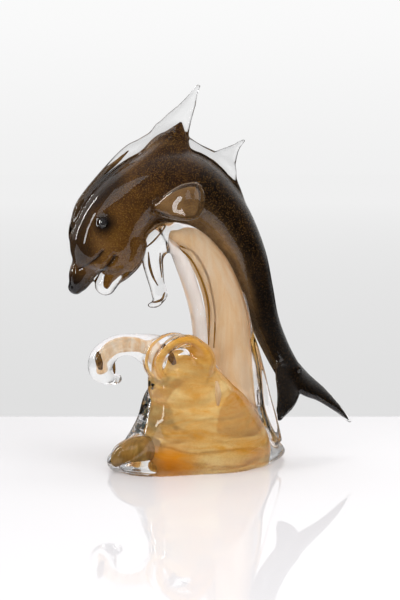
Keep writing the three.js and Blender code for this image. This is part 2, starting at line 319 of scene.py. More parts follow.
# Melting: the share of the pull that a point in a hollow and any other point follow, the steps in and out of
# the smoothing, the steps between two readings of the normals, and the height that is laid flat
HOLLOW_STEP = 0.6
OPEN_STEP = 0.04
STEP_IN = 0.5
STEP_OUT = 0.52
NORMALS_EVERY = 8
FLOOR_REACH = 0.6 * MM


def melt(mesh: bpy.types.Mesh, rounds: int, crease_rounds: int, floor: float | None = None) -> None:
    """Softens a fused mesh as a flame does.

    Each point moves towards the mean of its neighbours. In the crease rounds only the points that lie
    in a hollow move, so joints fill and drawn tips stay. In the other rounds each step in is followed
    by a slightly longer step out, which keeps the volume.

    Args:
        mesh: the mesh, changed in place.
        rounds: steps that smooth all over.
        crease_rounds: steps that fill hollows.
        floor: a height below which points are laid flat, or None.
    """
    edges = np.empty(len(mesh.edges) * 2, dtype=np.int64)
    mesh.edges.foreach_get("vertices", edges)
    a, b = edges.reshape(-1, 2).T
    count = len(mesh.vertices)
    valence = np.bincount(a, minlength=count) + np.bincount(b, minlength=count)

    def pull(points: Array) -> Array:
        """From each point to the mean of its neighbours."""
        total = np.stack([np.bincount(a, points[b, k], count) + np.bincount(b, points[a, k], count)
                          for k in range(3)], -1)
        return total / valence[:, None] - points

    points = read_points(mesh)
    for step in range(crease_rounds):
        if step % NORMALS_EVERY == 0:
            write_points(mesh, points)
            normals = read_normals(mesh)
        move = pull(points)
        hollow = (move * normals).sum(1) > 0
        points = points + move * np.where(hollow, HOLLOW_STEP, OPEN_STEP)[:, None]
    for _ in range(rounds):
        points = points + STEP_IN * pull(points)
        points = points - STEP_OUT * pull(points)
    if floor is not None:
        points[:, 2] = np.where(points[:, 2] < floor + FLOOR_REACH, floor, points[:, 2])
    write_points(mesh, points)


def fuse(name: str, skins: list[Skin], voxel: float, rounds: int, crease_rounds: int,
         floor: float | None = None) -> bpy.types.Object:
    """Fuses overlapping skins into one closed mesh of even quads, then melts it.

    Args:
        name: the object's name.
        skins: closed skins that overlap.
        voxel: the quads' size in metres.
        rounds: smoothing steps.
        crease_rounds: steps that fill hollows.
        floor: see melt.

    Returns:
        The object, shaded smooth.
    """
    obj = new_object(name, join(skins))
    remesh = obj.modifiers.new("fuse", "REMESH")
    remesh.mode = "VOXEL"
    remesh.voxel_size = voxel
    remesh.adaptivity = 0
    apply_modifiers(obj)
    melt(obj.data, rounds, crease_rounds, floor)
    smooth_shade(obj)
    return obj


def smooth_shade(obj: bpy.types.Object) -> None:
    """Shades every face of an object smooth."""
    obj.data.polygons.foreach_set("use_smooth", np.ones(len(obj.data.polygons), dtype=bool))
    obj.data.update()


def paint(obj: bpy.types.Object, name: str, values: Array) -> None:
    """Stores one number for each point in a named attribute."""
    attribute = obj.data.attributes.new(name, "FLOAT", "POINT")
    attribute.data.foreach_set("value", values.astype(np.float32))


def nearest_along(points: Array, rod: Rod, samples: int = PATH_STEPS) -> Array:
    """The share of a rod's length at which its path comes nearest to each point."""
    along = np.linspace(0, 1, samples)
    path = rod.frames(along)[0]
    reach = (points ** 2).sum(1)[:, None] - 2 * points @ path.T + (path ** 2).sum(1)[None]
    return along[reach.argmin(1)]


# Finishes


def add_node(tree: bpy.types.NodeTree, kind: str, inputs: dict | None = None, stops: tuple | None = None,
             **settings) -> bpy.types.Node:
    """Adds a node with its settings and links.

    Args:
        tree: the node tree.
        kind: the node's type name.
        inputs: socket name or number to a value, or to another node's output socket.
        stops: a colour ramp's places and sRGB hex colours.
        settings: the node's own properties.

    Returns:
        The node.
    """
    node = tree.nodes.new(kind)
    for key, value in settings.items():
        setattr(node, key, value)
    for key, value in (inputs or {}).items():
        if isinstance(value, bpy.types.NodeSocket):
            tree.links.new(value, node.inputs[key])
        else:
            node.inputs[key].default_value = value
    if stops:
        ramp = node.color_ramp.elements
        while len(ramp) < len(stops):
            ramp.new(1.0)
        for element, (place, colour) in zip(ramp, stops):
            element.position = place
            element.color = linear(colour)
    return node


def new_material(name: str) -> tuple[bpy.types.Material, bpy.types.NodeTree, bpy.types.NodeSocket]:
    """A node material that is empty but for Object coordinates, with its tree and their socket."""
    material = bpy.data.materials.new(name)
    material.use_nodes = True
    material.node_tree.nodes.clear()
    place = add_node(material.node_tree, "ShaderNodeTexCoord").outputs["Object"]
    return material, material.node_tree, place


def scattered(tree: bpy.types.NodeTree, cells: bpy.types.NodeSocket, tilt: float) -> bpy.types.NodeSocket:
    """The surface normal leaned by a share of each cell's colour, so that flakes catch the light one by one.

    Args:
        tree: the node tree.
        cells: a colour that is the same all over a cell.
        tilt: how far a flake leans.

    Returns:
        The leaned normal's socket.
    """
    normal = add_node(tree, "ShaderNodeNewGeometry").outputs["Normal"]
    lean = add_node(tree, "ShaderNodeVectorMath", {0: cells, 1: (0.5, 0.5, 0.5)}, operation="SUBTRACT")
    leaned = add_node(tree, "ShaderNodeVectorMath", {0: lean.outputs[0], 1: (tilt, tilt, tilt), 2: normal},
                      operation="MULTIPLY_ADD")
    return add_node(tree, "ShaderNodeVectorMath", {0: leaned.outputs[0]}, operation="NORMALIZE").outputs[0]


@dataclass(frozen=True)
class ClearCrystal:
    """Colourless soda-lime art glass, fire-polished: sharp edges, thin dark rims and mirrored lamp strips."""

    name: str = "fire_polished_clear_crystal"
    tint: str = "FDFDFD"
    roughness: float = 0.0
    ior: float = 1.5
    ripple_mm: float = 26.0
    ripple_height_mm: float = 0.05

    def material(self) -> bpy.types.Material:
        """Builds the glass: full transmission, with the faint ripple left by the tools as bump."""
        material, tree, place = new_material(self.name)
        ripple = add_node(tree, "ShaderNodeTexNoise", {
            "Vector": place, "Scale": 1 / (self.ripple_mm * MM), "Detail": 1.0, "Roughness": 0.4})
        bump = add_node(tree, "ShaderNodeBump", {
            "Height": ripple.outputs[0], "Distance": self.ripple_height_mm * MM, "Strength": 0.5})
        glass = add_node(tree, "ShaderNodeBsdfPrincipled", {
            "Base Color": linear(self.tint), "Roughness": self.roughness, "IOR": self.ior,
            "Transmission Weight": 1.0, "Normal": bump.outputs[0]})
        add_node(tree, "ShaderNodeOutputMaterial", {"Surface": glass.outputs[0]})
        return material


@dataclass(frozen=True)
class Aventurine:
    """Bronze-brown glass full of metal flakes, sealed in clear: a deep brown that glitters gold where lit.

    Attributes:
        flake_mm: spacing of the flakes, drawn about as coarse as the picture can show.
        flake_tilt: how far a flake leans from the surface.
        cloud_mm: size of the clouds in the colour.
        wander: how far the clouds shift the colour along the body.
        ground: colours from the head, 0, to the tail, 1.
        flake: colour of a lit flake.
        metal_from: share of flake from which a spot is metal.
        rich: colour of the glow bands: painted light on the hind belly, gold on the nape's rim and the
            paddles.
        dusk: colour of the dark glass at the beak's tip, of the painted shade by the eyes and in the mouth,
            and of the painted refraction on the brow.
    """

    name: str = "bronze_aventurine_glass"
    flake_mm: float = 1.2
    flake_tilt: float = 0.9
    cloud_mm: float = 34.0
    wander: float = 0.7
    ground: tuple = ((0.0, "6B4718"), (0.2, "5E3E1A"), (0.4, "332013"), (0.55, "180D07"), (0.72, "090403"),
                     (0.88, "040202"))
    metal_from: float = 0.3
    flake: str = "D09A48"
    rich: str = "B48A58"
    dusk: str = "060406"

    def material(self) -> bpy.types.Material:
        """Colour follows the attribute along; flakes, glow with its painted belly light, and dusk with its
        painted shade lie over it.
        """
        material, tree, place = new_material(self.name)
        along, glow, dusk = (add_node(tree, "ShaderNodeAttribute", attribute_name=name).outputs["Fac"]
                             for name in ("along", "glow", "dusk"))
        cloud = add_node(tree, "ShaderNodeTexNoise", {
            "Vector": place, "Scale": 1 / (self.cloud_mm * MM), "Detail": 3.0, "Roughness": 0.55}).outputs[0]
        wander = add_node(tree, "ShaderNodeMath", {0: cloud, 1: self.wander, 2: -self.wander / 2},
                          operation="MULTIPLY_ADD").outputs[0]
        drift = add_node(tree, "ShaderNodeMath", {0: along, 1: wander}, operation="ADD").outputs[0]
        colour = add_node(tree, "ShaderNodeValToRGB", {"Fac": drift}, stops=self.ground).outputs[0]
        flakes = add_node(tree, "ShaderNodeTexVoronoi", {"Vector": place, "Scale": 1 / (self.flake_mm * MM)})
        chance = add_node(tree, "ShaderNodeSeparateColor", {"Color": flakes.outputs["Color"]}).outputs[0]
        dots = add_node(tree, "ShaderNodeMapRange", {
            "Value": flakes.outputs["Distance"], "From Min": 0.45, "From Max": 0.2}).outputs[0]
        fade = add_node(tree, "ShaderNodeMapRange", {
            "Value": along, "From Min": 0.35, "From Max": 0.8, "To Min": 0.75, "To Max": 0.12}).outputs[0]
        patch = add_node(tree, "ShaderNodeMapRange", {
            "Value": cloud, "From Min": 0.4, "From Max": 0.58, "To Min": 0.45, "To Max": 1.0}).outputs[0]
        lit = add_node(tree, "ShaderNodeMath", {0: chance, 1: dots}, operation="MULTIPLY").outputs[0]
        amount = add_node(tree, "ShaderNodeMath", {0: lit, 1: fade}, operation="MULTIPLY").outputs[0]
        # The glow bands: painted light on the hind belly, a gold line on the nape's rim, gold on the paddles
        golden = add_node(tree, "ShaderNodeMath", {0: glow, 1: patch}, operation="MULTIPLY").outputs[0]
        for part, tone in ((amount, self.flake), (golden, self.rich), (dusk, self.dusk)):
            colour = add_node(tree, "ShaderNodeMix", {0: part, MIX_A: colour, MIX_B: linear(tone)},
                              data_type="RGBA").outputs[MIX_OUT]
        metal = add_node(tree, "ShaderNodeMath", {0: amount, 1: self.metal_from},
                         operation="GREATER_THAN").outputs[0]
        glass = add_node(tree, "ShaderNodeBsdfPrincipled", {
            "Base Color": colour, "Roughness": 0.5, "Specular IOR Level": 0.1, "Metallic": metal,
            "Normal": scattered(tree, flakes.outputs["Color"], self.flake_tilt)})
        add_node(tree, "ShaderNodeOutputMaterial", {"Surface": glass.outputs[0]})
        return material


@dataclass(frozen=True)
class LeafVeil:
    """A veil of coloured glass with gold leaf, drawn out with the wave: cloudy, streaked and glowing.

    Attributes:
        pale: colour of the light streaks.
        deep: colour of the dark streaks.
        opacity: cover in the dark streaks.
        thin_opacity: cover in the light streaks.
        streak_mm: width of a streak.
        stretch: scale of the streaks along each axis; they run where it is small.
        leaf_mm: size of a piece of leaf.
        leaf_share: how strongly the leaf shows.
        hot_spot: middle of a patch of richer colour, in metres, or None.
        crown: heights in metres between which the crown colour comes in, or None.
        accent_cover: cover that a patch of richer colour adds.
    """

    name: str
    pale: str
    deep: str
    opacity: float = 1.0
    thin_opacity: float = 0.7
    streak_mm: float = 9.0
    stretch: tuple = (1.0, 1.0, 0.18)
    leaf: str = "C8953C"
    leaf_mm: float = 1.4
    leaf_share: float = 0.35
    hot_spot: tuple | None = None
    hot_colour: str = "DC8400"
    hot_radius: float = 0.05
    hot_share: float = 0.95
    crown: tuple | None = None
    crown_colour: str = "F2BC58"
    crown_share: float = 0.4
    accent_cover: float = 0.4

    def material(self) -> bpy.types.Material:
        """Streaks between the pale and deep colours, leaf specks, patches of richer colour, uneven cover."""
        material, tree, place = new_material(self.name)
        drawn = add_node(tree, "ShaderNodeMapping", {"Vector": place, "Scale": self.stretch}).outputs[0]
        streak = add_node(tree, "ShaderNodeTexNoise", {
            "Vector": drawn, "Scale": 1 / (self.streak_mm * MM), "Detail": 4.0, "Roughness": 0.6,
            "Distortion": 0.6}).outputs[0]
        colour = add_node(tree, "ShaderNodeValToRGB", {"Fac": streak},
                          stops=((0.36, self.deep), (0.62, self.pale))).outputs[0]
        cells = add_node(tree, "ShaderNodeTexVoronoi", {"Vector": place, "Scale": 1 / (self.leaf_mm * MM)})
        chance = add_node(tree, "ShaderNodeSeparateColor", {"Color": cells.outputs["Color"]}).outputs[0]
        speck = add_node(tree, "ShaderNodeMath", {0: chance, 1: self.leaf_share}, operation="MULTIPLY")
        cover = add_node(tree, "ShaderNodeMapRange", {
            "Value": streak, "From Min": 0.64, "From Max": 0.38,
            "To Min": self.thin_opacity, "To Max": self.opacity}).outputs[0]
        accents = self.accents(tree, place)
        for part, tone in ((speck.outputs[0], self.leaf), *accents):
            colour = add_node(tree, "ShaderNodeMix", {0: part, MIX_A: colour, MIX_B: linear(tone)},
                              data_type="RGBA").outputs[MIX_OUT]
        for part, _ in accents:
            cover = add_node(tree, "ShaderNodeMath", {0: part, 1: self.accent_cover, 2: cover},
                             operation="MULTIPLY_ADD").outputs[0]
        clear = add_node(tree, "ShaderNodeMath", {0: 1.0, 1: cover}, operation="SUBTRACT", use_clamp=True)
        veil = add_node(tree, "ShaderNodeBsdfPrincipled", {
            "Base Color": colour, "Roughness": 0.35, "IOR": 1.02, "Transmission Weight": clear.outputs[0]})
        add_node(tree, "ShaderNodeOutputMaterial", {"Surface": veil.outputs[0]})
        return material

    def accents(self, tree: bpy.types.NodeTree, place: bpy.types.NodeSocket) -> list[tuple]:
        """Places where the colour is richer and less clear: a hot spot, and all above the crown heights.

        Args:
            tree: the node tree.
            place: object coordinates.

        Returns:
            Pairs of a share from 0 to 1 and a colour.
        """
        found = []
        if self.hot_spot is not None:
            away = add_node(tree, "ShaderNodeVectorMath", {0: place, 1: self.hot_spot}, operation="DISTANCE")
            heat = add_node(tree, "ShaderNodeMapRange", {
                "Value": away.outputs["Value"], "From Min": self.hot_radius, "From Max": 0.0,
                "To Max": self.hot_share}, interpolation_type="SMOOTHSTEP")
            found.append((heat.outputs[0], self.hot_colour))
        if self.crown is not None:
            low, high = self.crown
            height = add_node(tree, "ShaderNodeSeparateXYZ", {"Vector": place}).outputs["Z"]
            rise = add_node(tree, "ShaderNodeMapRange", {
                "Value": height, "From Min": low, "From Max": high, "To Max": self.crown_share},
                interpolation_type="SMOOTHSTEP")
            found.append((rise.outputs[0], self.crown_colour))
        return found


@dataclass(frozen=True)
class DarkFrit:
    """Crushed coloured glass fused in: each chip its own near-black, teal, olive or brown."""

    name: str = "dark_glass_frit"
    chip_mm: float = 5.0
    chips: tuple = ((0.0, "14120E"), (0.35, "1E3A36"), (0.55, "7C6A3A"), (0.8, "2A2118"))

    def material(self) -> bpy.types.Material:
        """One colour for each cell of about a chip's size, with a polished skin."""
        material, tree, place = new_material(self.name)
        cells = add_node(tree, "ShaderNodeTexVoronoi", {"Vector": place, "Scale": 1 / (self.chip_mm * MM)})
        chance = add_node(tree, "ShaderNodeSeparateColor", {"Color": cells.outputs["Color"]}).outputs[0]
        colour = add_node(tree, "ShaderNodeValToRGB", {"Fac": chance}, stops=self.chips)
        colour.color_ramp.interpolation = "CONSTANT"
        chip = add_node(tree, "ShaderNodeBsdfPrincipled", {
            "Base Color": colour.outputs[0], "Roughness": 0.15, "IOR": 1.5})
        add_node(tree, "ShaderNodeOutputMaterial", {"Surface": chip.outputs[0]})
        return material


@dataclass(frozen=True)
class BlackGlass:
    """Opaque black glass bead, fire-polished: a pinpoint lamp in a black dot."""

    name: str = "black_glass_bead"
    cloud_mm: float = 3.0

    def material(self) -> bpy.types.Material:
        """Black with a very faint brown cloud and a polished skin."""
        material, tree, place = new_material(self.name)
        cloud = add_node(tree, "ShaderNodeTexNoise", {"Vector": place, "Scale": 1 / (self.cloud_mm * MM)})
        colour = add_node(tree, "ShaderNodeValToRGB", {"Fac": cloud.outputs[0]},
                          stops=((0.4, "060505"), (0.7, "120D0A")))
        bead = add_node(tree, "ShaderNodeBsdfPrincipled", {
            "Base Color": colour.outputs[0], "Roughness": 0.06, "IOR": 1.5, "Coat Weight": 0.3})
        add_node(tree, "ShaderNodeOutputMaterial", {"Surface": bead.outputs[0]})
        return material


class Slot(Enum):
    """The record's material slots."""

    CLEAR = "clear_crystal"
    AMBER = "amber_glass"
    BRONZE = "bronze_brown_glass"


def dress(obj: bpy.types.Object, material: bpy.types.Material) -> None:
    """Gives a piece its material and its body, and reports it."""
    obj.data.materials.clear()
    obj.data.materials.append(material)
    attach(obj, BODY)
    log.info("%s: %d faces of %s", obj.name, len(obj.data.polygons), material.name)


# The dolphin


@dataclass
class Dolphin:
    """The leaping dolphin: a clear casing, a bronze core sealed in it, and two beads for eyes.

    A clear value is the thickness of clear glass over a core's back, belly and sides, in thousandths. A
    swell is a negative one: the casing follows the form, grown outwards. A glow band is its strength, its
    place and reach along the trunk, and its height and reach across it; the hind belly's band is painted
    light, the gold that light from below brings up in the flakes, and the nape's band a gold line on its
    rim. A dusk value is how far a dark place reaches, and a dark value how dark it gets: dark glass at
    the beak's tip, painted shade by the eyes and in the mouth and lip lines, painted refraction on the brow.
    """

    voxel: float = 1.3 * MM
    core_coarser: float = 1.2
    paddle_thickness: float = 33
    paddle_round: float = 3.0
    fluke_thickness: float = 38
    middle: float = 40
    trunk: Rod = Rod((
        (-249, 5, 536, 79, 62), (-246, 6, 575, 91, 72), (-234, 11, 615, 92, 78), (-210, 20, 656, 92, 82),
        (-171, 30, 696, 91, 86), (-122, 38, 723, 96, 89), (-71, 45, 732, 100, 91), (-19, 53, 719, 95, 91),
        (30, 61, 686, 83, 81), (83, 70, 627, 68, 64), (131, 80, 542, 53, 50), (157, 82, 456, 45, 42),
        (179, 72, 371, 39, 36), (211, 40, 297, 35, 29), (244, 0, 239, 34, 21)), first_cap=0.42, last_cap=0.6)
    peak: Rod = Rod((
        (-84, 46, 786, 70, 58), (-68, 45, 835, 50, 34), (-58, 43, 862, 32, 22), (-50, 41, 884, 15, 12),
        (-45, 40, 897, 6, 6)), last_cap=1.0)
    nape: Rod = Rod((
        (-256, 14, 690, 22, 50), (-208, 22, 736, 24, 54), (-160, 30, 772, 26, 52), (-116, 36, 806, 24, 42),
        (-80, 42, 846, 18, 26), (-60, 42, 874, 10, 12)), last_cap=0.8)
    # A dark core rod along the forehead's rim: painted refraction, where the clear rim would show the core
    # dark through its curve
    brow: Rod = Rod((
        (-322, 8, 630, 8, 10), (-306, 10, 680, 11, 13), (-284, 12, 724, 10, 12), (-252, 18, 762, 8, 10),
        (-216, 22, 794, 6, 8), (-182, 26, 826, 3, 4)), last_cap=1.0)
    ridge: Rod = Rod((
        (-316, 4, 566, 10, 12), (-325, 5, 604, 14, 18), (-317, 8, 645, 16, 22), (-299, 14, 690, 18, 23),
        (-241, 24, 752, 25, 20), (-177, 34, 807, 33, 15), (-140, 40, 826, 35, 14), (-100, 42, 843, 43, 14),
        (-72, 42, 868, 47, 14), (-53, 42, 900, 36, 12), (-34, 40, 930, 24, 10), (-21, 38, 952, 17, 8),
        (-10, 36, 975, 10, 6), (2, 35, 996, 5, 4.5)),
        first_cap=1.0, last_cap=1.0, bend=0.6)
    saddle: Rod = Rod((
        (-40, 46, 850, 20, 14), (-8, 50, 822, 26, 14), (30, 54, 798, 31, 14), (68, 58, 776, 34, 14),
        (88, 62, 746, 17, 12), (106, 66, 712, 12, 10), (124, 70, 680, 6, 6)), last_cap=1.0, bend=0.6)
    low_spike: Rod = Rod((
        (58, 56, 786, 46, 13), (80, 55, 812, 27, 11), (97, 53, 831, 13, 8), (110, 51, 844, 7, 6),
        (121, 50, 852, 4.5, 4.5)), last_cap=1.0, bend=0.6)
    beak: Rod = Rod((
        (-273, 5, 552, 47, 44), (-301, 2, 510, 37, 34), (-314, 0, 482, 28, 26), (-322, 0, 469, 20, 20)),
        last_cap=0.9)
    jaw: Rod = Rod((
        (-168, 5, 592, 38, 46), (-182, 5, 554, 41, 42), (-203, 3, 526, 38, 37), (-228, 1, 503, 34, 31),
        (-244, 0, 474, 28, 25)), last_cap=1.0)
    tongue: Rod = Rod((
        (-172, 5, 584, 28, 34), (-192, 5, 550, 28, 28), (-212, 3, 524, 19, 18), (-232, 1, 496, 11, 10),
        (-241, 0, 474, 7, 7)), last_cap=1.0)
    mouth: tuple = ((-290, 470), (-262, 503), (-243, 522), (-227, 538), (-215, 556))
    lip: tuple = ((-312, 520), (-288, 534), (-262, 552), (-246, 570))
    lip_depth: float = 1.3 * MM
    mouth_depth: float = 4.5 * MM
    mouth_width: float = 2.2 * MM
    eye_dome: float = 5.5 * MM
    paddle: tuple = (
        (-119, -30, 684, 9, 0.9), (-98, -58, 684, 22, 1), (-66, -84, 692, 40, 0.95),
        (-33, -104, 699, 51, 0.8), (-10, -116, 702, 52, 0.65))
    near_fluke: tuple = (
        (234, 5, 250, 36, 1), (238, -20, 212, 40, 0.85), (232, -50, 180, 31, 0.6), (218, -80, 152, 17, 0.4),
        (211, -103, 135, 6, 0.22))
    far_fluke: tuple = (
        (248, 5, 246, 37, 1), (281, 12, 212, 36, 0.85), (325, 28, 182, 25, 0.65), (372, 44, 141, 14, 0.45),
        (409, 58, 101, 5, 0.22))
    fluke_thin: tuple = (-0.61, 0.64, -0.47)

    paddle_lean: float = 0.3
    trunk_clear: tuple = ((6, 6, 6, 6, 6, 6, 6, 6, 6, 5, 4, 3, 3, 3, 3), 5, 7)
    beak_clear: tuple = (4, 4, 4)
    paddle_clear: tuple = (13, 13, 5)
    fluke_clear: tuple = (4, 4, 3)
    peak_swell: tuple = (-5, -5, -5)
    nape_swell: tuple = (-4, -4, -4)
    # The belly band is painted light, the gold that light from below brings up in the flakes; the nape band
    # is a gold line on its rim
    belly_glow: tuple = (1.0, 0.62, 0.17, -0.55, 0.32)
    nape_glow: tuple = (0.8, 0.2, 0.16, 1.14, 0.1)
    paddle_glow: float = 0.5
    paddle_reach: float = 30
    paddle_end: float = 0.6
    # The beak's tip is dark glass; the darkening by the eyes and in the mouth is painted shade, and on the
    # brow painted refraction
    tip_dusk: float = 62
    eye_dusk: float = 34
    brow_dusk: float = 52
    brow_stations: int = 5
    brow_dark: float = 0.8
    mouth_dark: float = 0.9

    def paddles(self) -> list[Rod]:
        """The near and far pectoral paddles."""
        near = scaled_depth(self.paddle, self.paddle_thickness)
        return [Rod(near, (0, -1, self.paddle_lean), last_cap=self.paddle_round),
                Rod(mirrored(near, self.middle), (0, 1, self.paddle_lean), last_cap=self.paddle_round)]

    def flukes(self) -> list[Rod]:
        """The near and far tail flukes."""
        return [Rod(scaled_depth(stations, self.fluke_thickness), self.fluke_thin, last_cap=1.0)
                for stations in (self.near_fluke, self.far_fluke)]

    def back_glass(self) -> list[Rod]:
        """The clear blade along the back: it rises into the tall spike, dips and rises into the low one."""
        return [self.ridge, self.saddle, self.low_spike, self.peak.core(*self.peak_swell),
                self.nape.core(*self.nape_swell)]

    def carve_mouth(self, obj: bpy.types.Object) -> None:
        """Presses the mouth and lip lines into both cheeks, along the normals.

        The depth is each line's own depth times exp(-(distance / width) squared).
        """
        points, normals = read_points(obj.data), read_normals(obj.data)
        press = sum(depth * np.exp(-(self.from_line(points, line) / self.mouth_width) ** 2)
                    for line, depth in ((self.mouth, self.mouth_depth), (self.lip, self.lip_depth)))
        write_points(obj.data, points - normals * (press * np.abs(normals[:, 1]))[:, None])

    def from_line(self, points: Array, line: tuple) -> Array:
        """Each point's distance from a line drawn on the cheek, seen from the side."""
        path = spline(np.array(line, float) * share(1), np.linspace(0, 1, LINE_STEPS))
        return np.linalg.norm(points[:, None, [0, 2]] - path[None], axis=2).min(1)

    def eyes(self) -> list[Array]:
        """The middles of the two beads."""
        return [np.mean(np.array(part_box(node), float), axis=0) for node in ("eye_near", "eye_far")]

    def casing(self) -> bpy.types.Object:
        """The clear skin over the whole animal."""
        rods = [self.trunk, self.beak, self.jaw, *self.back_glass(), *self.paddles(), *self.flukes()]
        domes = [ball(eye, self.eye_dome) for eye in self.eyes()]
        obj = fuse("dolphin_casing", [*(rod.skin() for rod in rods), *domes], self.voxel, rounds=40,
                   crease_rounds=34)
        self.carve_mouth(obj)
        return obj

    def core(self) -> bpy.types.Object:
        """The brown glass inside, which runs into the nape and the peak, the brow and the tongue; the brow is
        painted refraction.
        """
        paddles = [rod.core(*self.paddle_clear) for rod in self.paddles()]
        flukes = [rod.core(*self.fluke_clear) for rod in self.flukes()]
        rods = [self.trunk.core(*self.trunk_clear), self.beak.core(*self.beak_clear), self.tongue, self.peak,
                self.nape, self.brow, *paddles, *flukes]
        obj = fuse("dolphin_core", [rod.skin() for rod in rods], self.voxel * self.core_coarser, rounds=8,
                   crease_rounds=30)
        self.carve_mouth(obj)
        points = read_points(obj.data)
        paint(obj, "along", nearest_along(points, self.trunk))
        # dusk: dark glass at the beak's tip, painted shade by the eyes and in the mouth, painted refraction
        # on the brow
        paint(obj, "dusk", self.dusk(points))
        # glow: painted light on the hind belly, gold on the nape and the paddles
        paint(obj, "glow", self.glow(points))
        return obj

    def glow(self, points: Array) -> Array:
        """How much gold each point takes: painted light on the hind belly, where light from below brings up
        the flakes, a gold line on the nape's rim, and gold on the paddles.

        A band is a bell over the place along the trunk times a bell over the height across it. On a
        paddle the gold grows with the distance out from the trunk.
        """
        along = nearest_along(points, self.trunk)
        centre, girth, _, across, _ = self.trunk.frames(np.linspace(0, 1, PATH_STEPS))
        row = (along * (PATH_STEPS - 1)).round().astype(int)
        height = ((points - centre[row]) * across[row]).sum(1) / girth[row, 0]
        bands = [most * np.exp(-((along - place) / reach) ** 2 - ((height - level) / spread) ** 2)
                 for most, place, reach, level, spread in (self.belly_glow, self.nape_glow)]
        out = np.abs(points[:, 1] - share(self.middle)) - share(self.trunk.table()[:, 4].max())
        outward = self.paddle_glow * np.clip(out / share(self.paddle_reach), 0, 1)
        return np.max([*bands, np.where(along < self.paddle_end, outward, 0)], 0)

    def dusk(self, points: Array) -> Array:
        """How far each point is darkened: most at the beak's tip, which is dark glass; by an eye and in the
        mouth the darkening is painted shade, and on the brow painted refraction.

        Each place falls off as a bell over the distance from its middle or line.
        """
        tip = np.array(self.beak.stations[-1][:3]) * share(1)
        # The beak's tip is dark glass; round each eye socket the darkening is painted shade
        spots = [(tip, share(self.tip_dusk)), *((eye, share(self.eye_dusk)) for eye in self.eyes())]
        dark = [np.exp(-(((points - middle) ** 2).sum(1) / reach ** 2) ** 1.5) for middle, reach in spots]
        # Painted refraction: the forehead's rim darkened where its curve would show the core dark
        brow_line = tuple((row[0], row[2]) for row in self.ridge.stations[:self.brow_stations])
        brow = self.from_line(points, brow_line)
        dark.append(self.brow_dark * np.exp(-(brow / share(self.brow_dusk)) ** 4))
        # Painted shade in the mouth and lip grooves
        dark += [np.exp(-(self.from_line(points, line) / self.mouth_width) ** 2) * self.mouth_dark
                 for line in (self.mouth, self.lip)]
        return np.max(dark, 0)

    def build(self) -> None:
        """Makes the pieces, dresses them and sets them on the body."""
        casing = self.casing()
        dress(casing, ClearCrystal().material())
        casing.visible_shadow = False
        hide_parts("dolphin")
        dress(self.core(), Aventurine().material())
        bead = BlackGlass().material()
        for node in ("eye_near", "eye_far"):
            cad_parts[node].data.materials.clear()
            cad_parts[node].data.materials.append(bead)
            log.info("%s: %s", node, bead.name)


# The wave


@dataclass(frozen=True)
class Foot:
    """A lofted foot of lobed ellipses, each [height, length share, depth share, x, y, lobe share]."""

    length: float = 500
    depth: float = 300
    turn: float = 27
    lobes: int = 5
    relief: float = 0.035
    levels: tuple = (
        (0, 0.955, 0.955, 0, 0, 1), (4, 0.985, 0.985, 0, 0, 1), (12.5, 1, 1, 0, 0, 1),
        (25, 0.985, 0.985, 0, 0, 1), (65, 0.84, 0.87, 2, 2, 0.8), (125, 0.715, 0.78, 8, 8, 0.5),
        (185, 0.64, 0.68, 8, 14, 0.2), (225, 0.5, 0.52, 4, 14, 0), (246, 0.28, 0.3, 0, 12, 0),
        (250, 0.1, 0.1, 0, 12, 0))

    def skin(self, rows: int = 160, sides: int = 240) -> Skin:
        """Ellipses of half length a and half depth b, their radius times 1 + relief * cos(lobes * angle)."""
        level = spline(np.array(self.levels, float), np.linspace(0, 1, rows))
        level[:, 0] = np.maximum(level[:, 0], 0)
        angle = np.linspace(0, 2 * math.pi, sides, endpoint=False)[None]
        reach = 1 + self.relief * level[:, 5:6] * np.cos(self.lobes * angle)
        x = self.length / 2 * level[:, 1:2] * reach * np.cos(angle)
        y = self.depth / 2 * level[:, 2:3] * reach * np.sin(angle)
        c, s = math.cos(math.radians(self.turn)), math.sin(math.radians(self.turn))
        rings = np.stack([level[:, 3:4] + x * c - y * s, level[:, 4:5] + x * s + y * c,
                          level[:, :1] + 0 * x], -1)
        return tube(rings * share(1))


# Clear glass of the wave: a stronger ripple than the dolphin's, so that what lies behind it swims
WAVE_CRYSTAL = ClearCrystal("fire_polished_clear_wave", ripple_mm=22, ripple_height_mm=0.25)
# Honey glass over gold leaf: level streaks, an orange glow low at the left and a pale gold crown
AMBER_LEAF = LeafVeil(
    "amber_gold_leaf_glass", "FFE4A2", "E2A23C", 0.54, 0.14, streak_mm=16, stretch=(0.3, 0.3, 1.0),
    hot_spot=(-0.030, -0.058, 0.008), hot_radius=0.042, crown=(0.088, 0.106))
# Peach glass over leaf: a pale warm body with faint upright streaks
PEACH_LEAF = LeafVeil("peach_gold_leaf_glass", "FBE3C4", "F0C998", 0.5, 0.25, streak_mm=14, leaf_share=0.1)
# The same peach drawn thin: a faint warm line in clear glass
PEACH_STREAK = LeafVeil("peach_streak_glass", "FBEBD6", "EBC08C", 0.35, 0.03, streak_mm=8, leaf_share=0.1)
# Painted refraction: dark gold lines laid on the column where its groove shows the amber veil refracted at
# the edges
PAINTED_GROOVE_REFRACTION = LeafVeil("painted_groove_refraction_lines", "A67A35", "7C5522", 1.0, 0.9)
# Painted refraction: thin dark lines laid in the clear glass where its curves show the dark room and the
# dolphin refracted
PAINTED_DARK_REFRACTION = LeafVeil("painted_dark_refraction_lines", "6B503C", "3A2A20", 0.85, 0.6)
# Painted highlight: a soft pale gleam sealed in the amber where the bright backdrop shows through it
PAINTED_PALE_GLEAM = LeafVeil("painted_pale_gleam", "FFF6EA", "F6E4CC", 0.3, 0.1, leaf_share=0.05)
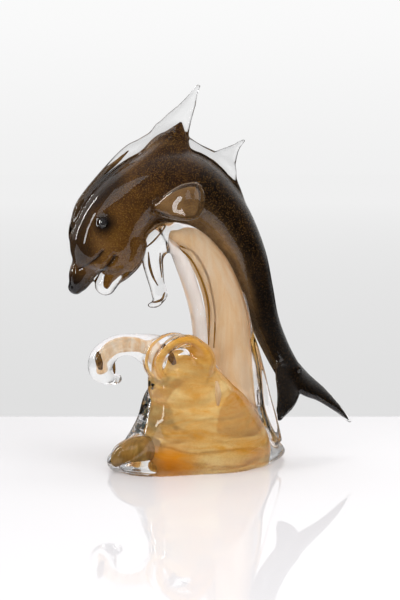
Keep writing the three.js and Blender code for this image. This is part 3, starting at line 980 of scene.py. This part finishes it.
# Lilac-white veil: a faint milkiness
LILAC_VEIL = LeafVeil("lilac_veil_glass", "FFF8F2", "F0E4DC", 0.25, 0.06, streak_mm=14, leaf_share=0.03)
# Olive-brown veil: a mossy lobe seen through thick clear glass
OLIVE_VEIL = LeafVeil("olive_veil_glass", "C8A058", "8A6A36", 0.5, 0.16, streak_mm=9, leaf_share=0.1)


@dataclass
class Wave:
    """The breaking wave: clear glass with amber, peach and olive veils drawn up inside it.

    A clear value is the thickness of clear glass over a core's back, belly and sides. The frit's line,
    spread and sizes say where its chips lie and how large they are, the sizes as half lengths in mm.
    """

    voxel: float = 1.5 * MM
    veil_coarser: float = 1.3
    streak_finer: float = 0.8
    foot: Foot = Foot()
    front_lobe: Foot = Foot(length=340, depth=196, turn=14, levels=(
        (0, 0.93, 0.93, 22, -50, 1), (12, 0.98, 0.98, 22, -50, 1), (40, 1, 1, 22, -50, 1),
        (80, 0.97, 0.98, 20, -46, 0.8), (125, 0.87, 0.92, 16, -42, 0.5), (180, 0.74, 0.84, 2, -36, 0.2),
        (225, 0.58, 0.78, -22, -34, 0), (262, 0.4, 0.6, -40, -34, 0), (280, 0.2, 0.4, -44, -34, 0)))
    column: Rod = Rod((
        (-68, 30, 606, 39, 48), (-29, 40, 580, 53, 58), (8, 50, 526, 66, 63), (40, 55, 456, 72, 67),
        (62, 60, 375, 77, 70), (67, 60, 308, 80, 74), (75, 55, 227, 88, 84), (78, 42, 148, 90, 80),
        (66, 30, 60, 84, 66)), first_cap=0.9, last_cap=0.0)
    flange: Rod = Rod((
        (100, 62, 440, 30, 14), (114, 62, 342, 34, 15), (128, 60, 294, 35, 15), (143, 56, 230, 37, 16),
        (158, 50, 163, 38, 17), (181, 42, 90, 36, 18), (197, 34, 46, 30, 18)), bend=0.45)
    pad: Rod = Rod((
        (-212, -100, 24, 26, 28), (-188, -104, 38, 40, 38), (-150, -102, 46, 50, 44),
        (-108, -88, 50, 50, 44)), first_cap=0.9, last_cap=0.6)
    hanging_tip: Rod = Rod((
        (-78, 25, 602, 37, 40), (-105, 20, 584, 37, 36), (-119, 15, 551, 30, 26), (-115, 12, 511, 25, 21),
        (-108, 10, 477, 21, 18), (-100, 10, 445, 21, 18)), first_cap=0.6, last_cap=0.8)
    flick: Rod = Rod(((-100, 10, 443, 17, 16), (-110, 5, 427, 12, 12), (-125, 2, 422, 7, 7)), last_cap=1.0)
    mass: Rod = Rod((
        (4, -16, 36, 96, 64), (-2, -36, 136, 112, 84), (-28, -45, 198, 103, 80), (-47, -40, 250, 88, 70),
        (-57, -35, 290, 66, 54)), last_cap=0.5)
    left_width: float = 85
    left_crest: tuple = (
        (-68, -10, 272, 58, 1.2), (-121, -10, 302, 45, 1.1), (-173, -12, 318, 29, 1), (-218, -15, 313, 29, 1),
        (-250, -18, 284, 34, 1), (-255, -18, 252, 32, 0.9), (-237, -20, 234, 21, 0.7),
        (-213, -20, 229, 13, 0.4))
    front_width: float = 75
    front_thin: tuple = (-0.55, 0.83, 0)
    front_crest: tuple = (
        (-5, -55, 237, 52, 1.3), (8, -60, 293, 34, 1.15), (-20, -65, 333, 29, 1), (-64, -70, 337, 27, 1),
        (-103, -75, 311, 26, 1), (-114, -75, 272, 23, 0.9), (-93, -75, 240, 20, 0.7),
        (-62, -75, 230, 14, 0.5), (-41, -75, 232, 12, 0.4))
    sheet_from: int = 2
    sheet: float = 0.55
    rim_radius: float = 15
    amber_length: float = 314
    amber_depth: float = 170
    amber_lift: float = 1.5 * MM
    root_clear: tuple = (14, 14, 12)
    root_trim: int = 6
    bead_clear: tuple = (8, 8, 8)
    streak_clear: float = 0.76
    streak_side: float = 30
    streak_trim: int = 2
    olive_clear: tuple = (17, 17, 15)
    peach_veil: Rod = Rod((
        (-62, 24, 600, 12, 16), (-14, 36, 582, 26, 30), (25, 46, 526, 33, 40), (57, 52, 456, 38, 46),
        (76, 54, 375, 43, 50), (80, 54, 308, 42, 52), (84, 50, 227, 42, 54), (86, 44, 148, 46, 54),
        (84, 34, 80, 48, 50)), first_cap=1.0)
    lilac_veil: Rod = Rod((
        (-66, 28, 590, 14, 20), (-38, 36, 530, 22, 30), (-14, 46, 462, 24, 38), (2, 52, 400, 24, 42),
        (10, 54, 340, 24, 44), (14, 48, 290, 24, 44)), first_cap=1.0)
    # Painted refraction lines along the column's groove: x, y, z and radius for each point
    groove_refraction_lines: tuple = (
        ((-51, 16, 581, 1.5), (-18, 22, 547, 2.4), (6, 24, 505, 2.8), (24, 24, 455, 2.8), (33, 22, 397, 2.4),
         (32, 18, 315, 1.5)),
        ((-45, 16, 581, 1.5), (-11, 20, 560, 2.4), (18, 22, 515, 2.8), (34, 22, 468, 2.8), (47, 20, 397, 2.4),
         (45, 16, 307, 1.5)))
    # Painted dark refraction lines in the hanging tip and the curls: x, y, z and radius for each point
    dark_refraction_threads: tuple = (
        ((-128, 6, 562, 1.2), (-126, 4, 530, 3), (-118, 4, 500, 2.6), (-106, 8, 474, 1.2)),
        ((-101, 6, 562, 1.2), (-101, 4, 537, 2.4), (-97, 6, 495, 1.2)),
        ((-120, 4, 428, 1.2), (-108, 4, 431, 2.6), (-96, 6, 439, 3), (-90, 8, 454, 1.6)),
        ((-138, 0, 572, 1.8), (-144, -2, 588, 2.6), (-130, -4, 610, 2.2), (-104, -6, 630, 2.2),
         (-86, -6, 634, 2.6), (-94, -4, 616, 2.2), (-116, -2, 590, 2.2), (-138, 0, 572, 1.8)),
        ((-256, -28, 297, 4), (-257, -30, 279, 7), (-256, -28, 260, 4)),
        ((-221, -28, 276, 3), (-220, -30, 258, 4), (-219, -28, 244, 2)),
        ((-80, -76, 318, 5), (-70, -78, 296, 10), (-60, -76, 276, 6)))
    # A painted highlight: a pale gleam in the front of the amber, x, y, z and radius for each point
    painted_gleams: tuple = (((48, -88, 232, 5), (51, -92, 202, 9), (50, -96, 172, 4)),)
    frit_seed: int = 4
    frit_count: int = 34
    frit_line: tuple = (
        (-112, -40, 236), (-116, -46, 200), (-126, -50, 160), (-138, -56, 120), (-146, -60, 84))
    frit_spread: tuple = (12, 22, 10)
    frit_least: tuple = (0.8, 0.5, 1.2)
    frit_most: tuple = (3.2, 1.6, 4.2)

    def crests(self) -> list[Rod]:
        """The left and the front curl."""
        return [Rod(scaled_depth(self.left_crest, self.left_width), last_cap=1.0),
                Rod(scaled_depth(self.front_crest, self.front_width), self.front_thin, last_cap=1.0)]

    def front_curl(self) -> list[Rod]:
        """The front curl as a sheet with a bead along each edge."""
        whole = self.crests()[1]
        table = whole.table()
        table[self.sheet_from:, 3] *= self.sheet
        return [whole.with_table(table), whole.rim(1, self.rim_radius), whole.rim(-1, self.rim_radius)]

    def casing(self) -> bpy.types.Object:
        """The clear body of the wave, its underside ground flat."""
        rods = [self.column, self.flange, self.pad, self.hanging_tip, self.flick, self.mass, self.crests()[0],
                *self.front_curl()]
        skins = [self.foot.skin(), self.front_lobe.skin(), *(rod.skin() for rod in rods)]
        return fuse("wave_casing", skins, self.voxel, rounds=30, crease_rounds=20, floor=0.0)

    def amber(self) -> bpy.types.Object:
        """The amber veil that fills the front of the foot and runs up into the front curl."""
        body = replace(self.front_lobe, length=self.amber_length, depth=self.amber_depth).skin(60, sides=72)
        body.points[:, 2] = np.maximum(body.points[:, 2], self.amber_lift)
        sheet, *beads = self.front_curl()
        root = sheet.core(*self.root_clear, trim=self.root_trim)
        curl = [root, *(bead.core(*self.bead_clear) for bead in beads)]
        skins = [body, *(rod.skin() for rod in curl)]
        return fuse("wave_amber_veil", skins, self.voxel, rounds=6, crease_rounds=20)

    def veil(self, name: str, rod: Rod, voxel_share: float, rounds: int = 6) -> bpy.types.Object:
        """A veil that is one rod of coloured glass.

        Args:
            name: the object's name.
            rod: its form.
            voxel_share: its quads' size as a share of the casing's.
            rounds: smoothing steps.

        Returns:
            The object.
        """
        return fuse(name, [rod.skin()], self.voxel * voxel_share, rounds, crease_rounds=0)

    def left_streak(self) -> Rod:
        """The thin streak in the left curl."""
        curl = self.crests()[0]
        clear = curl.table()[:, 3] * self.streak_clear
        return curl.core(clear, clear, self.streak_side, trim=self.streak_trim)

    def threads(self, name: str, paths: tuple) -> bpy.types.Object:
        """Thin threads of glass inside the wave, which carry the painted refraction lines and the painted
        pale gleam.

        Args:
            name: the object's name.
            paths: for each thread its points, as x, y, z and radius in thousandths.

        Returns:
            The object.
        """
        skins = [Rod(tuple((*point, point[-1]) for point in path)).skin(40, sides=12) for path in paths]
        obj = new_object(name, join(skins))
        smooth_shade(obj)
        return obj

    def frit(self) -> bpy.types.Object:
        """Dark chips fused into the clear left side: small balls pressed to random shapes along a line."""
        random = np.random.default_rng(self.frit_seed)
        spots = spline(np.array(self.frit_line, float) * share(1), random.random(self.frit_count))
        spread = np.array(self.frit_spread) * share(1)
        chip = ball(np.zeros(3), 1.0, sides=10)
        skins = []
        for spot in spots:
            size = random.uniform(self.frit_least, self.frit_most) * MM
            skins.append(Skin(spot + spread * random.uniform(-1, 1, 3) + chip.points * size, chip.faces))
        return new_object("wave_dark_frit", join(skins))

    def build(self) -> None:
        """Makes the pieces, dresses them and sets them on the body."""
        casing = self.casing()
        dress(casing, WAVE_CRYSTAL.material())
        casing.visible_shadow = False
        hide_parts("wave")
        streak, olive = self.left_streak(), self.pad.core(*self.olive_clear)
        for obj, finish, slot in (
                (self.amber(), AMBER_LEAF, Slot.AMBER),
                (self.veil("wave_peach_veil", self.peach_veil, self.veil_coarser, 8), PEACH_LEAF, Slot.AMBER),
                (self.veil("wave_peach_streak", streak, self.streak_finer), PEACH_STREAK, Slot.AMBER),
                # The groove lines and the dark threads are painted refraction, the pale gleam a painted
                # highlight
                (self.threads("wave_painted_groove_refraction", self.groove_refraction_lines), PAINTED_GROOVE_REFRACTION, Slot.AMBER),
                (self.threads("wave_painted_dark_refraction", self.dark_refraction_threads), PAINTED_DARK_REFRACTION, Slot.AMBER),
                (self.threads("wave_painted_pale_gleam", self.painted_gleams), PAINTED_PALE_GLEAM, Slot.AMBER),
                (self.frit(), DarkFrit(), Slot.BRONZE),
                (self.veil("wave_lilac_veil", self.lilac_veil, self.veil_coarser), LILAC_VEIL, Slot.AMBER),
                (self.veil("wave_olive_veil", olive, self.veil_coarser), OLIVE_VEIL, Slot.AMBER)):
            dress(obj, finish.material())


# The studio


@dataclass(frozen=True)
class SoftBox:
    """A rectangular lamp that the camera doesn't see.

    Attributes:
        name: the object's name.
        place: its middle in metres.
        size: its width and height in metres.
        watts: its power.
        mirrored: whether gloss and glass show it. Such a lamp doesn't light the table, which would mirror it.
    """

    name: str
    place: tuple
    size: tuple
    watts: float
    mirrored: bool = True


@dataclass
class Studio:
    """A pale glossy table, a pale backdrop, soft lamps and the camera.

    A fall is a smooth step in the brightness of the surroundings along one direction: where it begins
    and ends, and the brightness at each. The facing shares mix the way up and the way back into the
    direction of the soft fall.
    """

    table_back: float = 0.27
    table_front: float = -0.3
    wide: float = 8.0
    table_drop: float = 0.3 * MM
    gloss_radius: float = 0.45
    matte_share: float = 2.5
    focal_mm: float = 100.0
    sensor_mm: float = 36.0
    camera_place: tuple = (0.0023, -1.744, 0.373)
    camera_dip: float = 6.5
    aim: tuple = (0.0, 0.0, 0.2)
    facing_up: float = 0.7
    facing_back: float = 0.5
    paper_fall: tuple = (0.4, 5.0, 0.745, 0.87)
    soft_fall: tuple = (-0.1, 0.7, 0.06, 0.8)
    horizon_fall: tuple = (0.0, 0.07, 0.06, 1.0)
    left_fall: tuple = (-0.9, -0.35, 0.25, 1.0)
    right_fall: tuple = (0.35, 0.9, 1.0, 0.65)
    front_fall: tuple = (-0.4, 0.3, 0.35, 0.9)
    front_gloss_fall: tuple = (-0.2, 0.5, 0.35, 1.0)
    seen_fall: tuple = (-0.06, 0.08, 0.87, 0.96)
    boxes: tuple = (
        SoftBox("strip_left", (-1.3, 0.2, 0.75), (0.1, 0.9), 4),
        SoftBox("soft_box_left", (-1.3, -0.75, 0.6), (0.14, 0.9), 3.5),
        SoftBox("panel_above", (-0.9, -1.3, 1.5), (1.1, 0.7), 3),
        SoftBox("fill_right", (1.3, -0.8, 0.9), (0.9, 1.2), 12, mirrored=False),
        SoftBox("fill_front", (-0.4, -1.6, 1.1), (1.2, 0.8), 10, mirrored=False),
        SoftBox("fill_top", (0.0, 0.1, 1.5), (1.4, 1.0), 14, mirrored=False))

    def sheet(self, name: str, front: float, back: float, drop: float,
              material: bpy.types.Material) -> bpy.types.Object:
        """A staged level rectangle.

        Args:
            name: the object's name.
            front: where it starts along Y.
            back: where it ends.
            drop: how far it lies below the sculpture's underside, so that the two don't share a plane.
            material: its finish.

        Returns:
            The object.
        """
        corners = [(-self.wide, front, -drop), (self.wide, front, -drop), (self.wide, back, -drop),
                   (-self.wide, back, -drop)]
        obj = new_object(name, Skin(np.array(corners, float), [[0, 1, 2, 3]]))
        obj.data.materials.append(material)
        return obj

    def table_finish(self) -> bpy.types.Material:
        """White lacquered board: a weak mirror image round the sculpture, and matte further off."""
        material, tree, place = new_material("white_lacquer_board")
        away = add_node(tree, "ShaderNodeVectorMath", {0: place}, operation="LENGTH").outputs["Value"]
        far = add_node(tree, "ShaderNodeMapRange", {
            "Value": away, "From Min": self.gloss_radius, "From Max": self.matte_share * self.gloss_radius},
            interpolation_type="SMOOTHSTEP").outputs[0]
        polished = add_node(tree, "ShaderNodeBsdfPrincipled", {
            "Base Color": linear("E4E2E4"), "Roughness": 0.02, "IOR": 1.45})
        matte = add_node(tree, "ShaderNodeBsdfDiffuse", {"Color": linear("FBFAFB")})
        board = add_node(tree, "ShaderNodeMixShader", {0: far, 1: polished.outputs[0], 2: matte.outputs[0]})
        add_node(tree, "ShaderNodeOutputMaterial", {"Surface": board.outputs[0]})
        return material

    def backdrop_finish(self) -> bpy.types.Material:
        """Pale grey paper that runs away from the table."""
        material, tree, place = new_material("pale_backdrop_paper")
        away = add_node(tree, "ShaderNodeSeparateXYZ", {"Vector": place}).outputs["Y"]
        first, last, low, high = self.paper_fall
        colour = add_node(tree, "ShaderNodeMapRange", {
            "Value": away, "From Min": first, "From Max": last, "To Min": low, "To Max": high})
        paper = add_node(tree, "ShaderNodeEmission", {"Color": colour.outputs[0], "Strength": 1.0})
        add_node(tree, "ShaderNodeOutputMaterial", {"Surface": paper.outputs[0]})
        return material

    def room(self) -> bpy.types.World:
        """A pale studio that gloss and glass see darker at the sides and behind the camera."""
        world = bpy.data.worlds.new("studio")
        world.use_nodes = True
        tree = world.node_tree
        tree.nodes.clear()
        place = add_node(tree, "ShaderNodeTexCoord").outputs["Generated"]
        x, y, z = add_node(tree, "ShaderNodeSeparateXYZ", {"Vector": place}).outputs
        lift = add_node(tree, "ShaderNodeMath", {0: z, 1: self.facing_up}, operation="MULTIPLY").outputs[0]
        facing = add_node(tree, "ShaderNodeMath", {0: y, 1: self.facing_back, 2: lift},
                          operation="MULTIPLY_ADD").outputs[0]
        falls = ((facing, self.soft_fall), (z, self.horizon_fall), (x, self.left_fall), (x, self.right_fall),
                 (y, self.front_fall), (y, self.front_gloss_fall), (z, self.seen_fall))
        soft, horizon, left, right, front, front_gloss, paper = (
            add_node(tree, "ShaderNodeMapRange", {
                "Value": value, "From Min": first, "From Max": last, "To Min": low, "To Max": high},
                interpolation_type="SMOOTHSTEP").outputs[0] for value, (first, last, low, high) in falls)
        gloss, through, seen = soft, left, soft
        for fall in (horizon, front_gloss):
            gloss = add_node(tree, "ShaderNodeMath", {0: gloss, 1: fall}, operation="MULTIPLY").outputs[0]
        for fall in (right, front):
            through = add_node(tree, "ShaderNodeMath", {0: through, 1: fall}, operation="MULTIPLY").outputs[0]
        ray = add_node(tree, "ShaderNodeLightPath").outputs
        lights = (("Is Glossy Ray", gloss), ("Is Transmission Ray", through), ("Is Camera Ray", paper))
        for test, light in lights:
            seen = add_node(tree, "ShaderNodeMix", {
                0: ray[test], MIX_FLOAT_A: seen, MIX_FLOAT_B: light}).outputs[MIX_FLOAT_OUT]
        sky = add_node(tree, "ShaderNodeBackground", {"Color": seen, "Strength": 1.0})
        add_node(tree, "ShaderNodeOutputWorld", {"Surface": sky.outputs[0]})
        return world

    def lay_tables(self) -> bpy.types.Collection:
        """Lays the table in two sheets, the near one hidden from gloss so that the dolphin doesn't mirror it.

        Returns:
            A collection that keeps both sheets out of a lamp's light.
        """
        board = self.table_finish()
        table = self.sheet("table", self.table_front, self.table_back, self.table_drop, board)
        near = self.sheet("table_near", -self.wide, self.table_front, self.table_drop, board)
        near.visible_glossy = False
        unlit = bpy.data.collections.new("not_lit_by_strips")
        for top in (table, near):
            unlit.objects.link(top)
        for entry in unlit.collection_objects:
            entry.light_linking.link_state = "EXCLUDE"
        return unlit

    def lamp(self, box: SoftBox, unlit: bpy.types.Collection) -> None:
        """Hangs a soft box and points it at the aim.

        Args:
            box: the lamp.
            unlit: what a mirrored lamp doesn't light.
        """
        data = bpy.data.lights.new(box.name, "AREA")
        data.shape = "RECTANGLE"
        data.size, data.size_y = box.size
        data.energy = box.watts
        obj = bpy.data.objects.new(box.name, data)
        obj.location = box.place
        obj.visible_camera = False
        obj.visible_glossy = box.mirrored
        obj.visible_transmission = box.mirrored
        if box.mirrored:
            obj.light_linking.receiver_collection = unlit
        way = np.array(self.aim) - np.array(box.place)
        dip = math.atan2(way[2], math.hypot(way[0], way[1]))
        obj.rotation_euler = (math.pi / 2 + dip, 0, math.atan2(way[1], way[0]) - math.pi / 2)
        bpy.context.scene.collection.objects.link(obj)

    def set_camera(self) -> None:
        """Sets up the camera that the photograph's framing needs."""
        camera = bpy.data.cameras.new("camera")
        camera.lens = self.focal_mm
        camera.sensor_fit = "VERTICAL"
        camera.sensor_height = self.sensor_mm
        obj = bpy.data.objects.new("camera", camera)
        obj.location = self.camera_place
        obj.rotation_euler = (math.radians(90 - self.camera_dip), 0, 0)
        bpy.context.scene.collection.objects.link(obj)
        bpy.context.scene.camera = obj

    def build(self) -> None:
        """Sets the stage."""
        scene = bpy.context.scene
        scene.view_settings.view_transform = "Standard"
        scene.view_settings.look = "None"
        unlit = self.lay_tables()
        drop = self.table_drop + MM
        paper = self.sheet("backdrop", self.table_back, self.wide, drop, self.backdrop_finish())
        paper.visible_glossy = False
        scene.world = self.room()
        for box in self.boxes:
            self.lamp(box, unlit)
        self.set_camera()


def main() -> None:
    """Builds the sculpture, then the studio."""
    logging.basicConfig(level=logging.INFO, format="%(message)s")
    Studio().build()
    Dolphin().build()
    Wave().build()
    log.info("everything built")


if __name__ == "__main__":
    main()
